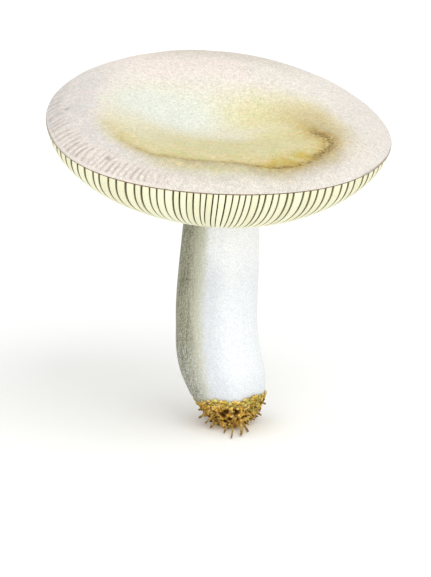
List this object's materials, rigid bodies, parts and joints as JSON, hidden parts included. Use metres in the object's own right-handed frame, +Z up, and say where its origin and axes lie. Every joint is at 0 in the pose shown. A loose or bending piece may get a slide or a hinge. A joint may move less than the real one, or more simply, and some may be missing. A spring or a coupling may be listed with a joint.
{
  "type": "wild mushroom",
  "caption": "Full-grown wild mushroom with a wide, dished cap, close gills and a stout bowed stem, standing on the soil clinging to its foot.",
  "frame": {"origin": "centre of the flat patch under the soil clump, on the surface the mushroom stands on", "axes": "+Z up, -Y towards the side the cap leans to, +X to the right as seen from there"},
  "size_m": [0.1187, 0.1182, 0.1258],
  "materials": {
    "mushroom_flesh": "dry skin, cream with a pinkish grey ring, over pale yellow gills and a white stem",
    "soil": "crumbly golden-brown earth with litter and rootlets, matt"
  },
  "bodies": {
    "root": {"mushroom": "mushroom_flesh", "soil_clump": "soil"}
  },
  "joints": []
}
